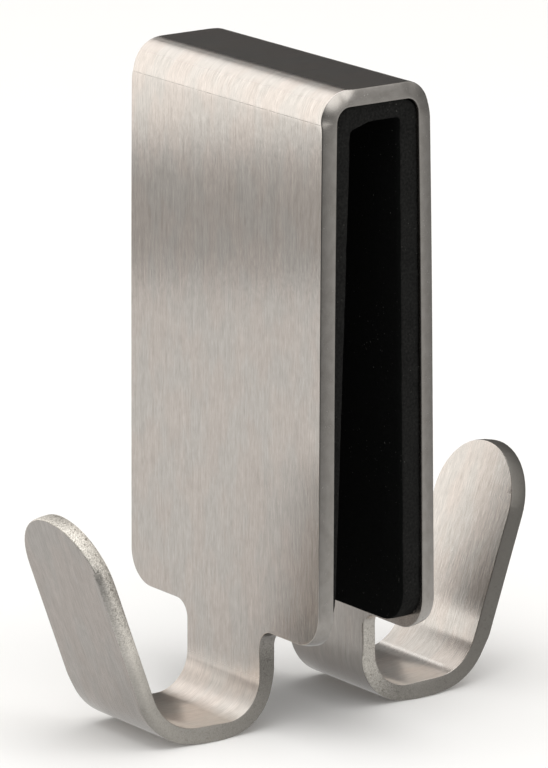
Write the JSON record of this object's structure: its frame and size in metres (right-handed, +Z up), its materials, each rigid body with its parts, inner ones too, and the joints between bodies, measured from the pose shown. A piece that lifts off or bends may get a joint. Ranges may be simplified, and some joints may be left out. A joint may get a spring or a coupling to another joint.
{
  "type": "double hook",
  "caption": "Stainless strip folded over a glass panel's edge, with a hook on each side and a foam lining that grips the glass.",
  "frame": {"origin": "middle of the foam seat that rests on the panel's top edge", "axes": "+X across the hook along the panel's edge, +Y from the front plate to the back plate, +Z up"},
  "size_m": [0.04, 0.0679, 0.0808],
  "materials": {
    "steel": "fine brushed grain along the strip, sheared edges left as blanked",
    "foam_rubber": "matt black closed-cell foam with cut edges"
  },
  "bodies": {
    "root": {"hook_body": "steel", "foam_lining": "foam_rubber"}
  },
  "joints": []
}
